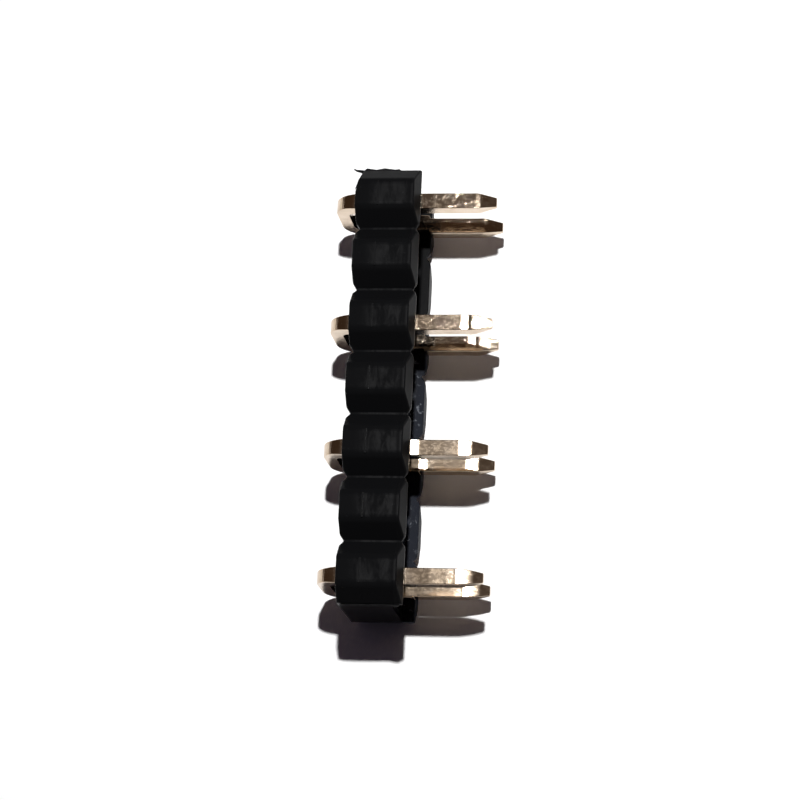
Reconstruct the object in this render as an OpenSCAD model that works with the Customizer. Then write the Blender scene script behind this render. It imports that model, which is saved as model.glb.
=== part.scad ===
// Two-row pin header strip whose pins are U-shaped staples, lying on its long side.
// X runs along the pins, Y along the strip and Z across the two rows.
// The origin is the middle of the long side that the strip lies on.

/* [Grid] */
// Distance from one position to the next along the strip
pitch = 2.54; // [2:0.01:3.96]
// Distance between the two rows of pins
row_pitch = 2.54; // [2:0.01:3.96]
// Empty positions between one staple and the next
empty_between = 1; // [0:1:3]

/* [Housing] */
// Distance from each row to the long side beside it
row_edge = 1.27; // [1.15:0.01:2]
// Depth of the housing along the pins
body_d = 2.54; // [1.5:0.01:4]
// How much of the last position is cut off at each end
end_trim = 0.1; // [0:0.01:0.2]
// Size of the bevels between one position and the next
lobe_bevel = 0.68; // [0.3:0.01:0.75]
// Width of the web left at the root of each V between positions
web_w = 0.08; // [0.04:0.01:0.2]
// Depth of the channel in the leg side
channel_depth = 0.48; // [0.2:0.01:0.8]
// Height of the rail on each side of the channel
rail_h = 0.86; // [0.6:0.01:0.92]
// How far the upper rail's face leans in at its top
rail_lean = 0.19; // [0.05:0.01:0.3]
// Height of the upright lip below the upper rail's leaning face
rail_lip = 0.14; // [0.05:0.01:0.3]
// Depth of the break scores across the leg and link sides
score_depth = 0.15; // [0.05:0.01:0.3]
// Width of the break scores
score_w = 0.42; // [0.1:0.01:0.6]
// Gap round each leg in its hole
hole_clear = 0; // [0:0.005:0.05]
// Distance from the link side to the mould's parting ridge
parting_x = 0.92; // [0.5:0.01:1.3]
// Width of the parting ridge
parting_w = 0.06; // [0.03:0.01:0.12]
// Height of the parting ridge
parting_h = 0.02; // [0.01:0.005:0.05]

/* [Broken ends] */
// How far the torn corner is missing across the link side
tear_x = 0.2; // [0.05:0.01:0.4]
// How far the torn corner runs along the strip
tear_y = 1.1; // [0.5:0.01:1.5]
// How far the ragged flash stands out of the torn end
flash_out = 0.12; // [0.05:0.01:0.2]
// How far the flash stands out of the other end
near_flash_out = 0.07; // [0.03:0.01:0.15]
// Thickness of the flash and of the loose strands
flash_t = 0.06; // [0.03:0.01:0.1]

/* [Staples] */
// Width across the flats of the square wire
wire_w = 0.64; // [0.4:0.01:0.7]
// Length of each leg beyond the housing
leg_out = 3; // [1.5:0.05:8]
// Length of the tapered tip of each leg
tip_l = 0.72; // [0.3:0.01:1.2]
// Width of the blunt end of each tip
tip_w = 0.38; // [0.2:0.01:0.4]
// Height of the blunt end of each tip
tip_h = 0.2; // [0.1:0.01:0.4]
// Straight wire between the housing and the first bend
link_lead = 0.12; // [0.05:0.01:1]
// Thickness of the link, squeezed by the bending
link_t = 0.52; // [0.4:0.01:0.64]
// Inner radius of the two bends
bend_inner_r = 0.36; // [0.2:0.01:0.6]
// How much each side of the wire narrows on the outside of the bends
bend_squeeze = 0.07; // [0:0.01:0.12]

/* [Hidden] */
$fn = 48;
staples = 4;
overcut = 0.5;

step = empty_between + 1;
positions = (staples - 1) * step + 1;
far_y = (positions - 1) / 2 * pitch;
end_y = positions / 2 * pitch - end_trim;
body_h = row_pitch + 2 * row_edge;
rows = [row_edge, row_edge + row_pitch];
leg_face = body_d / 2;
link_face = -body_d / 2;
floor_x = leg_face - channel_depth;
tip_x = leg_face + leg_out;
bend_r = bend_inner_r + link_t;
back_x = link_face - link_lead - bend_r;
hole_w = wire_w + 2 * hole_clear;
parting = link_face + parting_x;
flat_w = pitch - web_w - 2 * lobe_bevel;
flash_z = body_h - lobe_bevel - flash_t;

// Ragged outlines: shares of the housing's depth, and of how far the flash stands out
torn_edge = [[0.08, -1], [0.08, 0.2], [0.13, 1], [0.28, 0.5], [0.41, 1], [0.58, 0.5], [0.64, 0.7], [0.75, -1]];
near_edge = [[0.04, -1], [0.07, 0.7], [0.3, 0.9], [0.62, 0.7], [0.8, 0.6], [0.88, 1.4], [0.94, 1.2], [0.97, -1]];
// The torn sliver and the loose strand: shares of the torn corner's two sizes
sliver = [[1, -0.11], [0.5, -0.06], [-0.5, 0], [-1, 0.06], [-1, 0.11], [-0.5, 0.06], [1, 0.04]];
strand = [[1, -0.06], [0, -0.33], [-0.67, -0.7], [-0.45, -0.62], [0.3, -0.4], [1, -0.25]];

// Centre of a position, counted from 0 at the torn end
function place(i) = far_y - i * pitch;

// Draws its 2-D child in Y and Z, and gives it a depth from x0 to x1
module along_x(x0, x1) {
    translate([x0, 0, 0])
        rotate([90, 0, 90])
            linear_extrude(height = x1 - x0)
                children();
}

// Draws its 2-D child in X and Z, and gives it a width from y0 to y1
module along_y(y0, y1) {
    translate([0, y1, 0])
        rotate([90, 0, 0])
            linear_extrude(height = y1 - y0)
                children();
}

// End view of one position: a block with bevelled edges
module lobe() {
    half = (pitch - web_w) / 2;
    polygon([
        [-half + lobe_bevel, 0], [half - lobe_bevel, 0],
        [half, lobe_bevel], [half, body_h - lobe_bevel],
        [half - lobe_bevel, body_h], [-half + lobe_bevel, body_h],
        [-half, body_h - lobe_bevel], [-half, lobe_bevel]
    ]);
}

// The strip seen along the pins: the positions, and the web that joins them
module strip_outline() {
    intersection() {
        union() {
            for (i = [0 : positions - 1])
                translate([place(i), 0])
                    lobe();
            translate([-end_y, lobe_bevel])
                square([2 * end_y, body_h - 2 * lobe_bevel]);
        }
        translate([-end_y, 0])
            square([2 * end_y, body_h]);
    }
}

// The strip seen from its end: a channel with a rail on each side
module side_profile() {
    polygon([
        [link_face, 0], [leg_face, 0],
        [leg_face, rail_h], [floor_x, rail_h],
        [floor_x, body_h - rail_h], [leg_face, body_h - rail_h],
        [leg_face, body_h - rail_h + rail_lip], [leg_face - rail_lean, body_h],
        [link_face, body_h]
    ]);
}

// Break score across one side, between two positions
module score(x, y) {
    translate([x, y, 0])
        linear_extrude(height = body_h)
            polygon([[-score_depth, 0], [0, score_w / 2], [score_depth, 0], [0, -score_w / 2]]);
}

// The square holes for the legs, in every position
module leg_holes() {
    for (i = [0 : positions - 1], z = rows)
        translate([link_face - overcut, place(i) - hole_w / 2, z - hole_w / 2])
            cube([body_d + 2 * overcut, hole_w, hole_w]);
}

// The corner that tore away when the strip was broken off
module torn_corner() {
    translate([0, 0, -overcut])
        linear_extrude(height = body_h + 2 * overcut)
            polygon([
                [link_face - overcut, end_y - tear_y],
                [link_face, end_y - tear_y],
                [link_face + tear_x, end_y],
                [link_face + tear_x, end_y + overcut],
                [link_face - overcut, end_y + overcut]
            ]);
}

// Ragged flash along the two broken ends, and loose shreds at the torn corner
module flash() {
    translate([0, 0, flash_z])
        linear_extrude(height = flash_t) {
            polygon([for (p = torn_edge) [link_face + p[0] * body_d, end_y + p[1] * flash_out]]);
            polygon([for (p = near_edge) [link_face + p[0] * body_d, -end_y - p[1] * near_flash_out]]);
            polygon([for (p = sliver) [link_face + p[0] * tear_x, end_y + p[1] * tear_y]]);
            polygon([for (p = strand) [link_face + p[0] * tear_x, end_y + p[1] * tear_y]]);
        }
}

// The mould's parting ridge, which shows on the flats of the upper long side
module parting_ridge() {
    for (i = [0 : positions - 1])
        translate([parting - parting_w / 2, place(i) - flat_w / 2, body_h - parting_h / 2])
            cube([parting_w, flat_w, parting_h]);
}

module housing() {
    color([0.05, 0.05, 0.055])
        union() {
            difference() {
                intersection() {
                    along_x(link_face - overcut, leg_face + overcut)
                        strip_outline();
                    along_y(-end_y, end_y)
                        side_profile();
                }
                for (i = [1 : positions - 1], x = [link_face, leg_face])
                    score(x, place(i) + pitch / 2);
                leg_holes();
                torn_corner();
            }
            flash();
            parting_ridge();
        }
}

// Side view of a staple: two legs and the link, with rounded bends at the back
module staple_side() {
    low = rows[0] - wire_w / 2;
    high = rows[1] + wire_w / 2;
    taper = (wire_w - tip_h) / 2;
    difference() {
        union() {
            translate([back_x + bend_r, low])
                square([tip_x - tip_l - back_x - bend_r, high - low]);
            translate([back_x, low + bend_r])
                square([bend_r, high - low - 2 * bend_r]);
            for (z = [low + bend_r, high - bend_r])
                translate([back_x + bend_r, z])
                    circle(r = bend_r);
            for (z = rows)
                translate([tip_x - tip_l, z])
                    polygon([
                        [0, -wire_w / 2], [tip_l, taper - wire_w / 2],
                        [tip_l, wire_w / 2 - taper], [0, wire_w / 2]
                    ]);
        }
        translate([back_x + link_t + bend_inner_r, rows[0] + wire_w / 2])
            square([tip_x - back_x, row_pitch - wire_w]);
        translate([back_x + link_t, rows[0] + wire_w / 2 + bend_inner_r])
            square([tip_x - back_x, row_pitch - wire_w - 2 * bend_inner_r]);
        for (z = [rows[0] + wire_w / 2 + bend_inner_r, rows[1] - wire_w / 2 - bend_inner_r])
            translate([back_x + link_t + bend_inner_r, z])
                circle(r = bend_inner_r);
    }
}

// Plan of a staple: the wire's width, tapered at the tips and squeezed at the bends
module staple_plan() {
    polygon([
        [back_x, bend_squeeze - wire_w / 2], [back_x + bend_r, -wire_w / 2],
        [tip_x - tip_l, -wire_w / 2], [tip_x, -tip_w / 2], [tip_x, tip_w / 2],
        [tip_x - tip_l, wire_w / 2], [back_x + bend_r, wire_w / 2],
        [back_x, wire_w / 2 - bend_squeeze]
    ]);
}

// One staple, bent from square wire and pressed through both rows
module staple(i) {
    color([0.83, 0.68, 0.42])
        translate([0, place(i * step), 0])
            intersection() {
                along_y(-wire_w, wire_w)
                    staple_side();
                linear_extrude(height = body_h)
                    staple_plan();
            }
}

housing();
staple(0);  // staple_1
staple(1);  // staple_2
staple(2);  // staple_3
staple(3);  // staple_4
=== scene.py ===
import math

import bmesh
import bpy
from mathutils import Matrix, Vector


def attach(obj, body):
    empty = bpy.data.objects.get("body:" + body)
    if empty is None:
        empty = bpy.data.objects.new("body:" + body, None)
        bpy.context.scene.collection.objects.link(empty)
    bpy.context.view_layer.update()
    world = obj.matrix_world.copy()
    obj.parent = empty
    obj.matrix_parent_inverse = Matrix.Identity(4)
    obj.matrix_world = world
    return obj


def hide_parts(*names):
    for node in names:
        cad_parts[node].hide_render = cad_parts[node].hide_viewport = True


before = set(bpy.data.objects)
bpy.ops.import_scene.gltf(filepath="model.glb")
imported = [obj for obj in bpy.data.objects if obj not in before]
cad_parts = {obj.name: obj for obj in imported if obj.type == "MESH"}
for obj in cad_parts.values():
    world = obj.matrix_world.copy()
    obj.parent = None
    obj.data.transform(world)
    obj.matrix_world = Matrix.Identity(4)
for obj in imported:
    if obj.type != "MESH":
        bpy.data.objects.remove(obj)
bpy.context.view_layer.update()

# Housing: one black glass-filled nylon moulding with seven bevelled positions.
# The mould leaves its edges slightly round and a faint ridge where its halves
# met; it was snapped off a longer strip, so both ends carry ragged flash.
MM = 0.001
SAME_PLACE = 0.002
PITCH = 2.54 * MM
POSITIONS = range(-3, 4)
TOP = 5.08 * MM
ABOVE_TOP = TOP + 0.005 * MM
FLAT_ANGLE = math.radians(1)
SMOOTH_ANGLE = math.radians(8)
CORNER_ANGLE = math.radians(25)
HOUSING_EDGE = 0.20 * MM
SMALL_CORNER = 0.3
LONG_EDGE = 1.5 * MM
MOSTLY = 0.9
BROKEN_END = 8.70 * MM
TORN_FROM = 7.6 * MM
TORN_X = -1.0 * MM
TORN_TOP = 4.45 * MM
RIDGE_X = -0.35 * MM
RIDGE_W = 0.06 * MM
RIDGE_L = 1.0 * MM
RIDGE_TOP = 5.088 * MM


def node_copy(packed, name):
    """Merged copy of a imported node, with its flat faces joined."""
    bpy.ops.object.select_all(action="DESELECT")
    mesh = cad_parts[packed].data.copy()
    mesh.name = name
    piece = bpy.data.objects.new(name, mesh)
    bpy.context.collection.objects.link(piece)
    piece.select_set(True)
    bpy.context.view_layer.objects.active = piece
    bpy.ops.object.mode_set(mode="EDIT")
    bpy.ops.mesh.select_all(action="SELECT")
    bpy.ops.mesh.remove_doubles(threshold=SAME_PLACE * MM)
    bpy.ops.mesh.dissolve_limited(angle_limit=FLAT_ANGLE)
    bpy.ops.object.mode_set(mode="OBJECT")
    piece.data.materials.clear()
    return piece


def sharp_corner(edge):
    """1 for an outer corner that a mould or a die would leave rounded, else 0."""
    return float(edge.is_manifold and edge.is_convex and edge.calc_face_angle() > CORNER_ANGLE)


def round_edges(piece, width, segments, wanted):
    """Gives the wanted edges a small radius and keeps the flats flat."""
    bpy.context.view_layer.objects.active = piece
    bpy.ops.object.shade_smooth_by_angle(angle=SMOOTH_ANGLE)
    shape = bmesh.new()
    shape.from_mesh(piece.data)
    weight = shape.edges.layers.float.new("bevel_weight_edge")
    for edge in shape.edges:
        edge[weight] = wanted(edge)
    shape.to_mesh(piece.data)
    shape.free()
    bevel = piece.modifiers.new("edges", "BEVEL")
    bevel.width = width
    bevel.segments = segments
    bevel.limit_method = "WEIGHT"
    bevel.use_clamp_overlap = False
    bevel.harden_normals = True
    bpy.ops.object.modifier_apply(modifier=bevel.name)


def housing_corner(edge):
    """Full rounding along the positions' bevels, little elsewhere, none at the flash."""
    corners = [v.co for v in edge.verts]
    if all(abs(co.y) > BROKEN_END for co in corners):
        return 0.0
    if any(co.y > TORN_FROM and co.x < TORN_X and co.z < TORN_TOP for co in corners):
        return 0.0
    length = edge.calc_length()
    along_x = abs(corners[0].x - corners[1].x) > MOSTLY * length
    return sharp_corner(edge) * (1.0 if along_x and length > LONG_EDGE else SMALL_CORNER)


def lift_ridge(piece):
    """Takes the parting ridge off, so that the flats can be rounded whole."""
    shape = bmesh.new()
    shape.from_mesh(piece.data)
    ridge = [f for f in shape.faces if any(v.co.z > ABOVE_TOP for v in f.verts)]
    bmesh.ops.delete(shape, geom=ridge, context="FACES")
    bmesh.ops.holes_fill(shape, edges=[e for e in shape.edges if e.is_boundary])
    bmesh.ops.dissolve_limit(
        shape, angle_limit=FLAT_ANGLE, verts=shape.verts, edges=shape.edges)
    bmesh.ops.recalc_face_normals(shape, faces=shape.faces)
    shape.to_mesh(piece.data)
    shape.free()


housing = node_copy("housing", "housing_moulding")
lift_ridge(housing)
round_edges(housing, HOUSING_EDGE, segments=3, wanted=housing_corner)
for position in POSITIONS:
    middle = (RIDGE_X, position * PITCH, RIDGE_TOP - RIDGE_W / 2)
    bpy.ops.mesh.primitive_cube_add(size=1, location=middle)
    ridge_bar = bpy.context.object
    ridge_bar.scale = (RIDGE_W, RIDGE_L, RIDGE_W)
    bpy.ops.object.transform_apply(location=True, scale=True)
    round_edges(ridge_bar, RIDGE_W / 4, segments=2, wanted=sharp_corner)
    housing.select_set(True)
    bpy.context.view_layer.objects.active = housing
    bpy.ops.object.join()


def material(name):
    """New node material, with its shader and its node tree."""
    mat = bpy.data.materials.new(name)
    mat.use_nodes = True
    return mat, mat.node_tree.nodes["Principled BSDF"], mat.node_tree


def feed(tree, socket, value):
    """Gives an input socket a plain value or another node's output."""
    if isinstance(value, bpy.types.NodeSocket):
        tree.links.new(value, socket)
    else:
        socket.default_value = value


def node(tree, kind, **settings):
    """Adds a node; settings with a capital are its input sockets."""
    made = tree.nodes.new(kind)
    for key, value in settings.items():
        if key[0].isupper():
            feed(tree, made.inputs[key.replace("_", " ")], value)
        else:
            setattr(made, key, value)
    return made


def place(tree, scale=(1, 1, 1), at=(0, 0, 0), turn=(0, 0, 0)):
    """Object coordinates in millimetres, stretched, moved or turned."""
    coord = node(tree, "ShaderNodeTexCoord")
    mapping = node(
        tree, "ShaderNodeMapping", vector_type="POINT", Vector=coord.outputs["Object"],
        Scale=[s / MM for s in scale], Location=at, Rotation=turn)
    return mapping.outputs["Vector"]


def axes(tree, vector):
    """The X, Y and Z of a vector."""
    return node(tree, "ShaderNodeSeparateXYZ", Vector=vector).outputs


def noise(tree, where, scale, detail=4.0, rough=0.5, distortion=0.0):
    """Noise pattern on the given coordinates."""
    made = node(
        tree, "ShaderNodeTexNoise", Vector=where, Scale=scale, Detail=detail,
        Roughness=rough, Distortion=distortion)
    return made.outputs["Fac"]


def ramp(tree, source, stops):
    """Colour ramp with (position, colour or grey) stops."""
    made = node(tree, "ShaderNodeValToRGB", Fac=source)
    bar = made.color_ramp
    while len(bar.elements) < len(stops):
        bar.elements.new(0.5)
    for element, (position, value) in zip(bar.elements, stops):
        element.position = position
        element.color = (*value, 1) if isinstance(value, tuple) else (value, value, value, 1)
    return made.outputs["Color"]


def maths(tree, kind, *values):
    """Maths on outputs and plain numbers."""
    made = node(tree, "ShaderNodeMath", operation=kind)
    for socket, value in zip(made.inputs, values):
        feed(tree, socket, value)
    return made.outputs["Value"]


def overlap(tree, first, *others):
    """Where all the masks hold."""
    for other in others:
        first = maths(tree, "MULTIPLY", first, other)
    return first


def add_share(tree, base, mask, amount):
    """Base value, and the amount on top of it where the mask holds."""
    return maths(tree, "MULTIPLY_ADD", mask, amount, base)


def step(tree, source, low, high):
    """Smooth step from 0 to 1 between two values, which may run down."""
    made = node(
        tree, "ShaderNodeMapRange", Value=source, From_Min=low, From_Max=high,
        interpolation_type="SMOOTHSTEP")
    return made.outputs["Result"]


def run(tree, source, start, end, at_start, at_end):
    """Straight run from one value to another between two places."""
    made = node(
        tree, "ShaderNodeMapRange", Value=source, From_Min=start, From_Max=end,
        To_Min=at_start, To_Max=at_end)
    return made.outputs["Result"]


# A Mix node has sockets for each type of value; these are its colour ones.
MIX_FIRST, MIX_SECOND, MIX_RESULT = 6, 7, 2


def mix(tree, first, second, factor):
    """Mixes two colours, each a colour or a node's colour output."""
    made = node(tree, "ShaderNodeMix", data_type="RGBA", Factor=factor)
    for socket, value in ((MIX_FIRST, first), (MIX_SECOND, second)):
        feed(tree, made.inputs[socket], (*value, 1) if isinstance(value, tuple) else value)
    return made.outputs[MIX_RESULT]


# Near-black and glossy, with rougher satin patches on the flats whose lighter colour is painted
# sheen, and a rough top on the lower rail whose lighter bluish grey near half and pale flecks are
# painted sheen and painted sparkles.
NYLON_SHINE = 0.025
NYLON_BLACK = (0.0042, 0.0043, 0.0047)
# Satin patches on the flats: rougher (real) and slightly lighter (painted sheen)
RUBBED_SHEEN_BLACK = (0.009, 0.009, 0.0095)
SCUFF_GREY = (0.022, 0.022, 0.024)
# Painted sheen: lighter bluish grey on the near half of the lower rail's top
RAIL_SHEEN_GREY = (0.014, 0.016, 0.022)
# Painted sparkles: pale grey flecks on the near half of the lower rail's top
PAINTED_SPARKLE_GREY = (0.14, 0.15, 0.17)
GLOSSY, RUBBED = 0.18, 0.40
COARSE_MORE, RAIL_ROUGH_MORE, ROOT_MORE = 0.20, 0.10, 0.34
GRAIN_SHARE = 0.10
# Where each mask starts and where it is full: how far a face looks up, and
# then places in millimetres
FACING_UP = (0.90, 0.99)
RAIL_X, RAIL_Z = (0.77, 0.81), (1.05, 0.90)
LEG_SIDE_X = (0.93, 1.00)
FAR_END_Y = (8.17, 8.30)
RIDGE_LEFT, RIDGE_RIGHT = (-0.42, -0.38), (-0.28, -0.32)
ROOT_LOW, ROOT_HIGH = (4.20, 4.30), (4.62, 4.50)
PATCH_LEFT, PATCH_RIGHT = (-0.85, -0.25), (0.98, 0.72)
NEAR_HALF_Y = (4.2, 2.8)

black, shader, tree = material("black_nylon")
feed(tree, shader.inputs["Specular IOR Level"], NYLON_SHINE)
spots = place(tree)
spot = axes(tree, spots)
facing = axes(tree, node(tree, "ShaderNodeNewGeometry").outputs["True Normal"])
flat = step(tree, facing["Z"], *FACING_UP)

ridge = overlap(
    tree, step(tree, spot["X"], *RIDGE_LEFT), step(tree, spot["X"], *RIDGE_RIGHT), flat)
coarse = maths(tree, "MAXIMUM", step(tree, spot["X"], *LEG_SIDE_X), ridge)
coarse = maths(tree, "MAXIMUM", coarse, step(tree, spot["Y"], *FAR_END_Y))

crumbs = noise(tree, place(tree, at=(2.0, 0.0, 0.0)), 2.4, detail=4.0, rough=0.7)
crumbs = ramp(tree, crumbs, [(0.50, 0.0), (0.66, 1.0)])
root = overlap(
    tree, step(tree, spot["Z"], *ROOT_LOW), step(tree, spot["Z"], *ROOT_HIGH), flat, crumbs)

# Satin patches on the flats: rougher, and their lighter colour is painted sheen
sheen_patch = overlap(
    tree, step(tree, spot["X"], *PATCH_LEFT), step(tree, spot["X"], *PATCH_RIGHT), flat)
rubs = place(tree, scale=(2.2, 0.7, 1.0))
rubs = noise(tree, rubs, 1.5, detail=6.0, rough=0.66, distortion=0.5)
rubbed_sheen = overlap(tree, ramp(tree, rubs, [(0.40, 0.0), (0.70, 1.0)]), sheen_patch)
specks = noise(tree, spots, 6.0, detail=6.0, rough=0.8)
scuffs = overlap(tree, ramp(tree, specks, [(0.62, 0.0), (0.72, 1.0)]), flat)

# Blotches over the near half of the lower rail's top: rougher and bumpier there (real), and
# lighter bluish grey there (painted sheen)
rail_blotches = noise(tree, place(tree, at=(0.0, 3.1, 0.0)), 0.55, detail=2.0, rough=0.5)
rail_blotches = ramp(tree, rail_blotches, [(0.40, 0.5), (0.56, 1.0)])
rail = overlap(tree, step(tree, spot["X"], *RAIL_X), step(tree, spot["Z"], *RAIL_Z))
rail_rough_sheen = overlap(tree, rail, rail_blotches, step(tree, spot["Y"], *NEAR_HALF_Y))
# Pale flecks over the rail top's near half, painted as sparkles of light
painted_sparkles = place(tree, scale=(1.0, 0.8, 1.0), turn=(0, 0, 0.6))
painted_sparkles = noise(tree, painted_sparkles, 3.6, detail=5.0, rough=0.75, distortion=0.8)
painted_sparkles = overlap(tree, ramp(tree, painted_sparkles, [(0.59, 0.0), (0.67, 1.0)]), rail_rough_sheen)

tint = NYLON_BLACK
layers = [(RUBBED_SHEEN_BLACK, rubbed_sheen), (SCUFF_GREY, scuffs), (RAIL_SHEEN_GREY, rail_rough_sheen), (PAINTED_SPARKLE_GREY, painted_sparkles)]
for colour, mask in layers:
    tint = mix(tree, tint, colour, mask)
feed(tree, shader.inputs["Base Color"], tint)

gloss = run(tree, rubbed_sheen, 0.0, 1.0, GLOSSY, RUBBED)
for mask, more in ((coarse, COARSE_MORE), (rail_rough_sheen, RAIL_ROUGH_MORE), (root, ROOT_MORE)):
    gloss = add_share(tree, gloss, mask, more)
feed(tree, shader.inputs["Roughness"], gloss)

pebbles = overlap(tree, noise(tree, spots, 6.5, detail=6.0, rough=0.72), rail_rough_sheen)
grain = noise(tree, spots, 3.0, detail=5.0, rough=0.55)
height = add_share(tree, pebbles, grain, GRAIN_SHARE)
bump = node(tree, "ShaderNodeBump", Strength=0.6, Distance=0.06 * MM, Height=height)
feed(tree, shader.inputs["Normal"], bump.outputs["Normal"])

housing.data.materials.append(black)
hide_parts("housing")
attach(housing, "root")

# Staples: square brass wire, gold plated, cut and bent into a U and pressed
# through both rows, with each tip swaged to a blunt point. Handling has pushed
# the lower legs sideways, waved all the legs a little and scratched the plating.
WIRE_EDGE = 0.035 * MM
MID_HEIGHT = 2.54 * MM
# Sideways push of each staple's lower leg, in millimetres
LOWER_LEG_SHIFT = {"staple_1": -0.13, "staple_2": -0.09, "staple_3": 0.02, "staple_4": 0.03}
# Where the push starts inside the channel, and where it is full, along X
LEG_ROOT = 0.80
LEG_CLEAR = 1.30
CUT_SLACK = 0.01
# How far each staple's legs stand above true, along X, in millimetres
LEG_WAVES = {
    "staple_1": [(1.3, 0.0), (1.8, 0.006), (2.4, 0.0), (3.1, -0.010)],
    "staple_2": [(1.3, 0.0), (2.2, 0.012), (3.05, 0.028), (3.35, -0.008), (4.3, 0.11)],
    "staple_3": [
        (1.28, 0.0), (1.58, -0.036), (1.8, -0.036), (3.16, -0.026), (3.46, -0.062), (3.6, -0.062)],
    "staple_4": [(1.3, 0.0), (2.2, 0.006), (2.9, -0.004), (3.15, -0.012)],
}
WAVE_ROUND = 0.05
# Reach of the rounding where each leg's flats turn into its tip, at TAPER_X
TAPER_X = 3.55
TAPER_SOFTEN = {"staple_1": 0.10, "staple_2": 0.12, "staple_3": 0.12, "staple_4": 0.34}
TAPER_STEPS = 6
BESIDE_TAPER = 0.02


def cut_across(x):
    """Adds an edge loop across the staple at x, in millimetres."""
    bpy.ops.mesh.select_all(action="SELECT")
    bpy.ops.mesh.bisect(plane_co=(x * MM, 0, 0), plane_no=(1, 0, 0), threshold=0.0001 * MM)


def soften_taper(piece, reach):
    """Rounds the edges where the legs' flats turn into the tapered tips."""
    bpy.ops.mesh.select_all(action="DESELECT")
    bpy.ops.mesh.select_mode(type="EDGE")
    shape = bmesh.from_edit_mesh(piece.data)
    for edge in shape.edges:
        edge.select_set(all(abs(v.co.x / MM - TAPER_X) < SAME_PLACE for v in edge.verts))
    bmesh.update_edit_mesh(piece.data)
    bpy.ops.mesh.bevel(offset=reach * MM, segments=TAPER_STEPS, profile=0.5)
    for x in (TAPER_X - reach - BESIDE_TAPER, TAPER_X + reach + BESIDE_TAPER):
        cut_across(x)


def wave_at(wave, x):
    """Height of a wave at x, straight between its points."""
    for (x0, z0), (x1, z1) in zip(wave, wave[1:]):
        if x0 <= x <= x1:
            return z0 + (z1 - z0) * (x - x0) / (x1 - x0)
    return wave[-1][1] if x > wave[-1][0] else 0.0


def push_legs(piece, wave, shift):
    """Waves both legs up and down, and moves the lower leg sideways."""
    shape = bmesh.from_edit_mesh(piece.data)
    for vertex in shape.verts:
        x = vertex.co.x / MM
        if x > LEG_CLEAR - CUT_SLACK:
            vertex.co.z += wave_at(wave, x) * MM
            if vertex.co.z < MID_HEIGHT:
                vertex.co.y += shift * MM
    bmesh.update_edit_mesh(piece.data)


# Pale gold in cloudy tones, mirror-like but for fine scratches. It is a little
# duller on the near staples, and smoothest on the lower legs of the far ones.
GOLD_TONES = [
    (0.32, (0.50, 0.39, 0.28)), (0.52, (0.60, 0.48, 0.36)), (0.75, (0.66, 0.56, 0.46))]
WORN_Y, WORN_ROUGHNESS = (7.0, 0.5), (0.106, 0.128)
SCRATCH_MORE, SHINY_LESS = 0.035, -0.04
LOWER_LEG_Z = (2.60, 2.40)
FAR_HALF_Y = (0.0, 2.0)
NICK_Y, NICK_DEPTH = (-1.0, 2.0), (-0.05, -0.13)

gold, shader, tree = material("gold_plate")
feed(tree, shader.inputs["Metallic"], 1.0)
spots = place(tree)
spot = axes(tree, spots)
blotch = noise(tree, spots, 1.3, detail=4.0, rough=0.6, distortion=0.4)
feed(tree, shader.inputs["Base Color"], ramp(tree, blotch, GOLD_TONES))

scratches = place(tree, scale=(1.0, 1.7, 1.7), turn=(0, 0, 0.5))
scratches = noise(tree, scratches, 2.6, detail=5.0, rough=0.66, distortion=1.8)
scratches = ramp(tree, scratches, [(0.50, 0.0), (0.56, 1.0), (0.62, 0.1)])
shiny = overlap(tree, step(tree, spot["Z"], *LOWER_LEG_Z), step(tree, spot["Y"], *FAR_HALF_Y))
wear = run(tree, spot["Y"], *WORN_Y, *WORN_ROUGHNESS)
wear = add_share(tree, wear, scratches, SCRATCH_MORE)
wear = add_share(tree, wear, shiny, SHINY_LESS)
feed(tree, shader.inputs["Roughness"], wear)

ripples = noise(tree, spots, 1.3, detail=2.0, rough=0.4, distortion=0.4)
depth = run(tree, spot["Y"], *NICK_Y, *NICK_DEPTH)
nicks = add_share(tree, ripples, scratches, depth)
bump = node(tree, "ShaderNodeBump", Strength=0.35, Distance=0.014 * MM, Height=nicks)
feed(tree, shader.inputs["Normal"], bump.outputs["Normal"])

for name, shift in LOWER_LEG_SHIFT.items():
    piece = node_copy(name, name + "_plated")
    bpy.ops.object.mode_set(mode="EDIT")
    soften_taper(piece, TAPER_SOFTEN[name])
    for x in (LEG_ROOT, LEG_CLEAR):
        cut_across(x)
    for x, _ in LEG_WAVES[name]:
        for beside in (-WAVE_ROUND, 0.0, WAVE_ROUND):
            cut_across(x + beside)
    push_legs(piece, LEG_WAVES[name], shift)
    bpy.ops.object.mode_set(mode="OBJECT")
    round_edges(piece, WIRE_EDGE, segments=2, wanted=sharp_corner)
    piece.data.materials.append(gold)
    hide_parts(name)
    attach(piece, "root")

# Floor: the white table that the strip lies on. The camera and the plating see
# it pure white away from the strip, so that it joins the white backdrop, and
# close to the strip it takes the lamp's light and the strip's shadow.
FLOOR_SIZE = 0.6
TABLE_WHITE = (0.97, 0.97, 0.97, 1)
PURE_WHITE_FROM = (12.0, 32.0)

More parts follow.
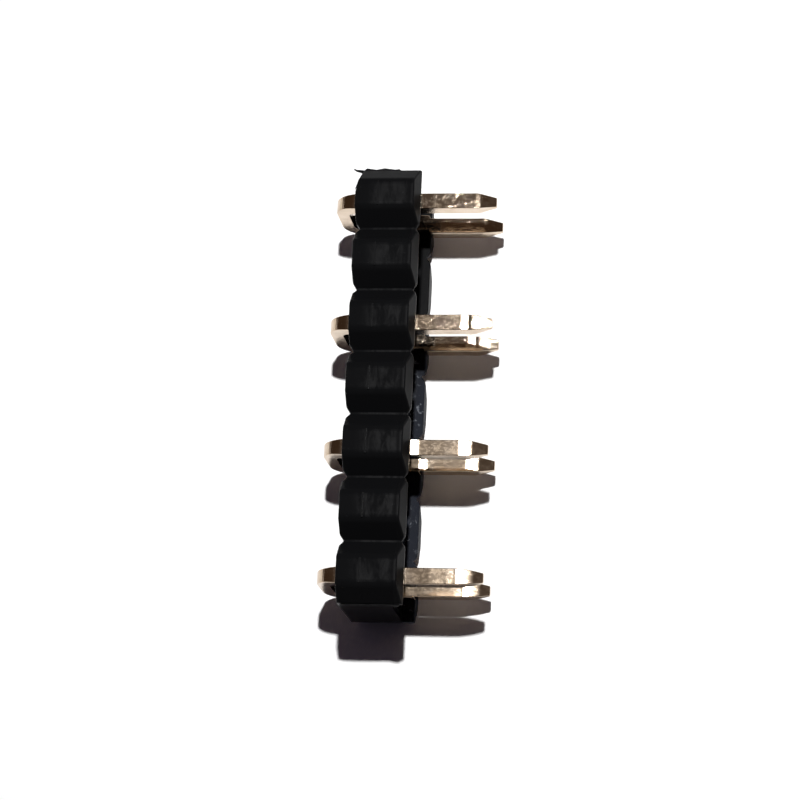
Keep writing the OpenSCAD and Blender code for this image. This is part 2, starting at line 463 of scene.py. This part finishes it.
bpy.ops.object.select_all(action="DESELECT")
bpy.ops.mesh.primitive_plane_add(size=FLOOR_SIZE, location=(0, 0, 0))
floor = bpy.context.object
floor.name = "floor"
table, shader, tree = material("white_table")
feed(tree, shader.inputs["Base Color"], TABLE_WHITE)
feed(tree, shader.inputs["Roughness"], 0.9)
rays = node(tree, "ShaderNodeLightPath").outputs
seen = maths(tree, "MAXIMUM", rays["Is Camera Ray"], rays["Is Glossy Ray"])
distance = node(tree, "ShaderNodeVectorMath", operation="LENGTH")
feed(tree, distance.inputs[0], place(tree))
white = overlap(tree, seen, step(tree, distance.outputs["Value"], *PURE_WHITE_FROM))
bright = node(tree, "ShaderNodeEmission").outputs["Emission"]
both = node(tree, "ShaderNodeMixShader", Fac=white)
feed(tree, both.inputs[1], shader.outputs["BSDF"])
feed(tree, both.inputs[2], bright)
feed(tree, tree.nodes["Material Output"].inputs["Surface"], both.outputs["Shader"])
floor.data.materials.append(table)

# Light: one small lamp high beyond the strip's far end, as in the photograph,
# in a dim room that is darkest overhead and on the camera's side. Reflections
# show the room brown, and pale close above the table.
LAMP_AT = Vector((13.4, 26.3, 114.7)) * MM
LAMP_ACROSS = 4 * MM
LAMP_POWER = 0.175
NEAR_WALL, FAR_WALL = (0.008, 0.008, 0.013), (0.060, 0.047, 0.070)
OVERHEAD = (0.020, 0.014, 0.014)
MIRRORED_ROOM, MIRRORED_LOW = (0.050, 0.031, 0.020), (0.62, 0.58, 0.57)
WHITE = (1.0, 1.0, 1.0)
FAR_SIDE_Y, OVERHEAD_Z, LOW_Z = (-0.6, 0.6), (0.72, 0.95), (0.15, 0.02)

bpy.ops.object.light_add(type="AREA", location=LAMP_AT)
lamp = bpy.context.object
lamp.name = "lamp"
lamp.data.shape = "DISK"
lamp.data.size = LAMP_ACROSS
lamp.data.energy = LAMP_POWER
lamp.rotation_euler = (-LAMP_AT).to_track_quat("-Z", "Y").to_euler()
world = bpy.data.worlds.new("room")
world.use_nodes = True
tree = world.node_tree
turned = axes(tree, node(tree, "ShaderNodeTexCoord").outputs["Generated"])
rays = node(tree, "ShaderNodeLightPath").outputs
sky = mix(tree, NEAR_WALL, FAR_WALL, step(tree, turned["Y"], *FAR_SIDE_Y))
sky = mix(tree, sky, OVERHEAD, step(tree, turned["Z"], *OVERHEAD_Z))
mirrored = mix(tree, MIRRORED_ROOM, MIRRORED_LOW, step(tree, turned["Z"], *LOW_Z))
sky = mix(tree, sky, mirrored, rays["Is Glossy Ray"])
sky = mix(tree, sky, WHITE, rays["Is Camera Ray"])
background = tree.nodes["Background"]
feed(tree, background.inputs["Color"], sky)
feed(tree, background.inputs["Strength"], 1.0)
bpy.context.scene.world = world

# Camera: looks steeply down from the near right side, as the photograph does,
# with the far end of the strip at the top of its square picture.
CAMERA_AT = Vector((14.82, -27.23, 97.10)) * MM
LOOK_AT = Vector((0.53, -0.18, 2.5)) * MM
HEADING = Vector((-0.0451, 0.999, 0.0))
FOCAL_PX = 2506.0
PICTURE_PX = 800
SENSOR_MM = 36

bpy.ops.object.camera_add(location=CAMERA_AT)
camera = bpy.context.object
camera.data.sensor_width = SENSOR_MM
camera.data.lens = FOCAL_PX / PICTURE_PX * SENSOR_MM
camera.data.clip_start = 1 * MM
forward = (LOOK_AT - CAMERA_AT).normalized()
right_side = forward.cross(HEADING).normalized()
up_side = right_side.cross(forward)
turn = Matrix((right_side, up_side, -forward)).transposed().to_4x4()
camera.matrix_world = Matrix.Translation(CAMERA_AT) @ turn
bpy.context.scene.camera = camera
bpy.context.scene.view_settings.view_transform = "Standard"

bpy.context.view_layer.update()
